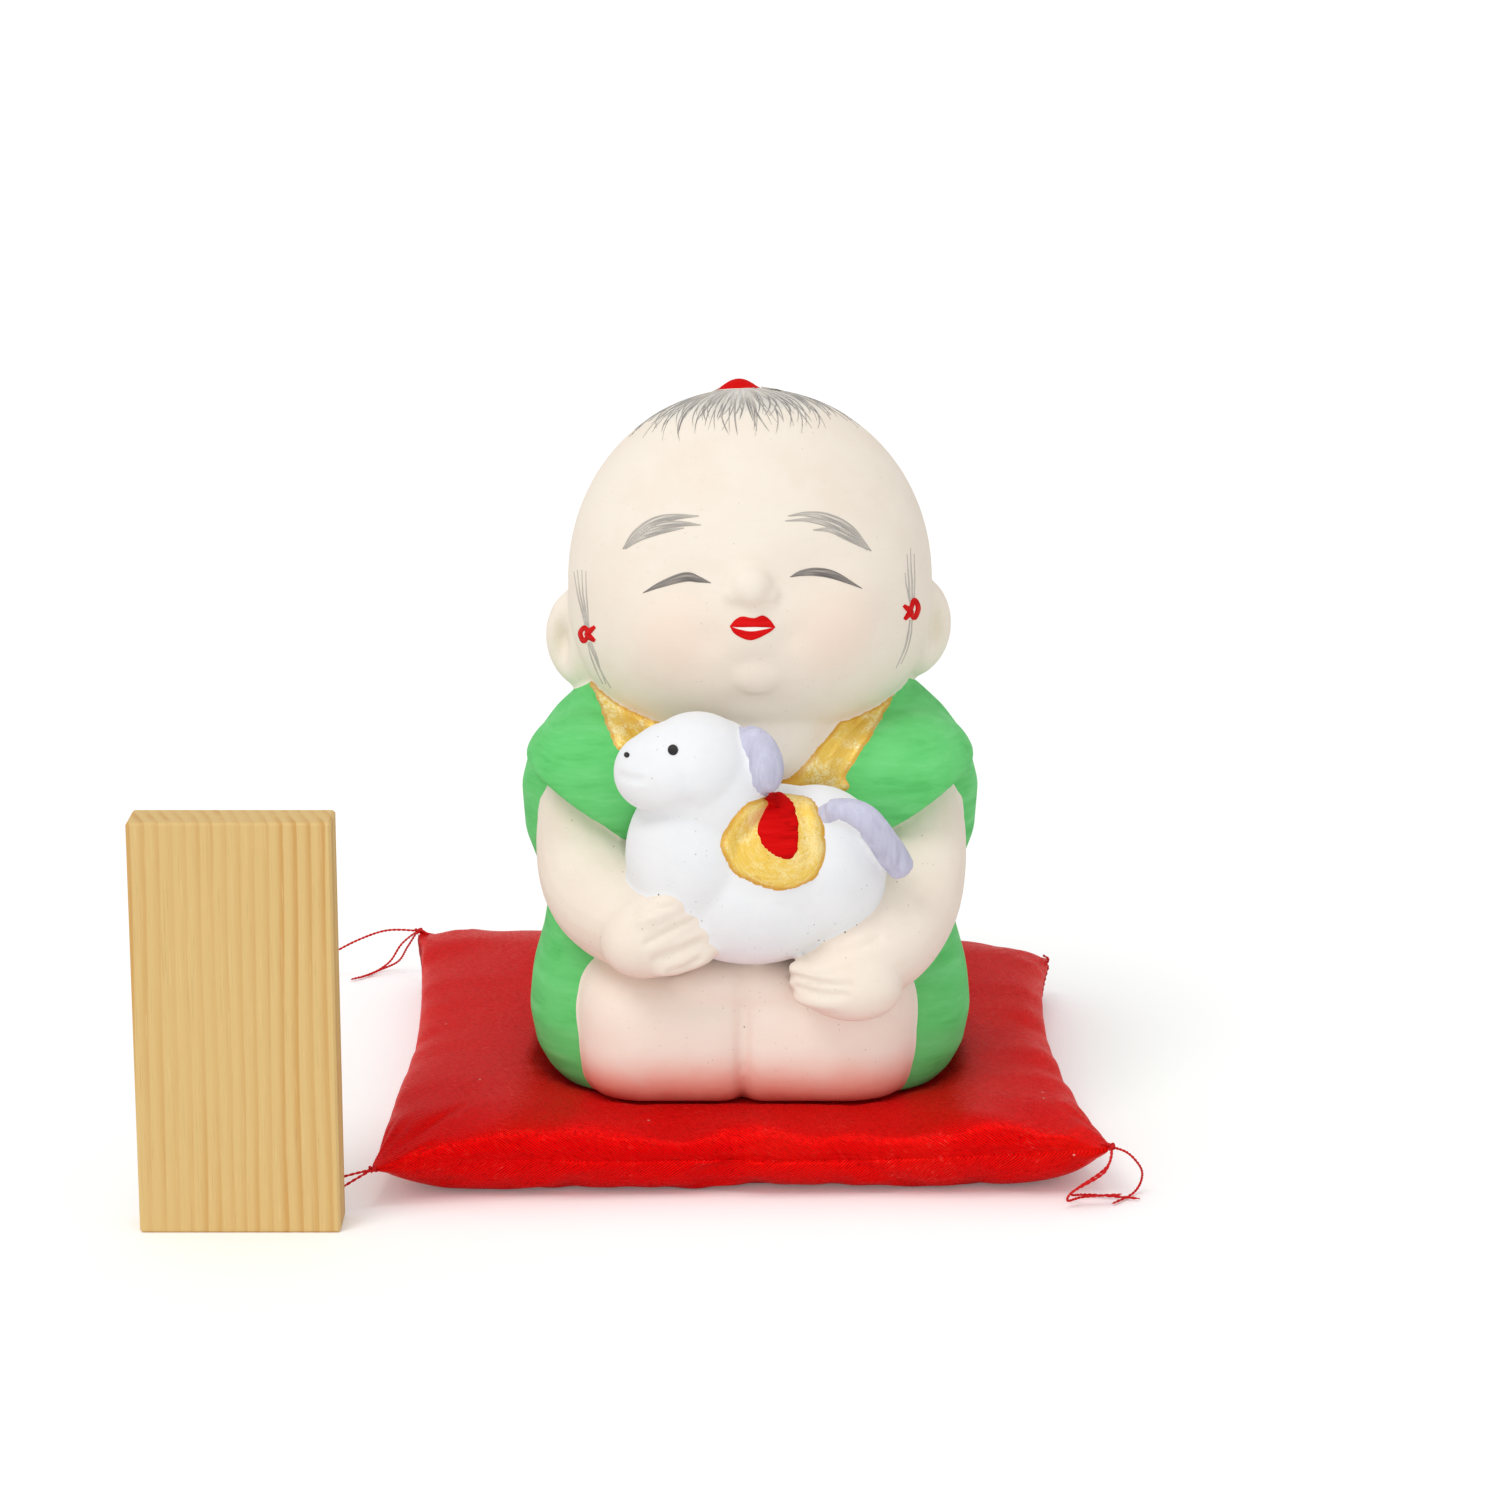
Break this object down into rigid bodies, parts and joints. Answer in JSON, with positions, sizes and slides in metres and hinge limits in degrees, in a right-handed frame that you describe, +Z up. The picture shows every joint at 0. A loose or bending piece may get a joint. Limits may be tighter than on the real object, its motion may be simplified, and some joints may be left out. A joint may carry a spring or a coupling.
{
  "type": "gosho doll on cushion",
  "caption": "Small clay gosho doll of a kneeling boy with a toy horse in the arms, on a square satin cushion, with a bare wooden name tablet.",
  "frame": {"origin": "on the table under the cushion, below the doll's middle line, near the middle of the cushion", "axes": "+Z up, the doll looks along -Y, +X to the viewer's right"},
  "size_m": [0.124, 0.1094, 0.0979],
  "materials": {
    "clay_flesh": "matt unglazed clay with a pale flesh wash",
    "clay_white": "matt bluish white wash on clay",
    "paint_green": "brushed matt green paint on clay",
    "paint_gold": "brushed gold paint on clay",
    "paint_red": "thick red paint on clay",
    "paint_lilac": "matt lilac paint on clay",
    "satin_red": "red satin twill",
    "wadding": "white fibre wadding",
    "cedar": "bare sawn cedar with straight grain",
    "ink_grey": "thin grey ink strokes brushed on the clay"
  },
  "bodies": {
    "cushion": {"cushion_cover_top": "satin_red", "cushion_cover_bottom": "satin_red", "cushion_wadding": "wadding", "threads_front_left": "satin_red", "threads_front_right": "satin_red", "threads_back_left": "satin_red"},
    "doll": {"head": "clay_flesh", "crown_tie": "paint_red", "robe": "paint_green", "collar_front": "paint_gold", "collar_nape": "paint_gold", "left_arm": "clay_flesh", "right_arm": "clay_flesh", "left_leg": "clay_flesh", "right_leg": "clay_flesh", "horse": "clay_white", "horse_mane": "paint_lilac", "horse_tail": "paint_lilac", "saddle_cloth": "paint_gold", "saddle_seat": "paint_red"},
    "tablet": {"name_tablet": "cedar"}
  },
  "joints": [
    {"name": "doll_lift", "type": "slide", "parent": "cushion", "child": "doll", "axis": [0, 0, 1], "range_m": [0, 0.06]},
    {"name": "tablet_lift", "type": "slide", "parent": "cushion", "child": "tablet", "axis": [0, 0, 1], "range_m": [0, 0.06]}
  ]
}
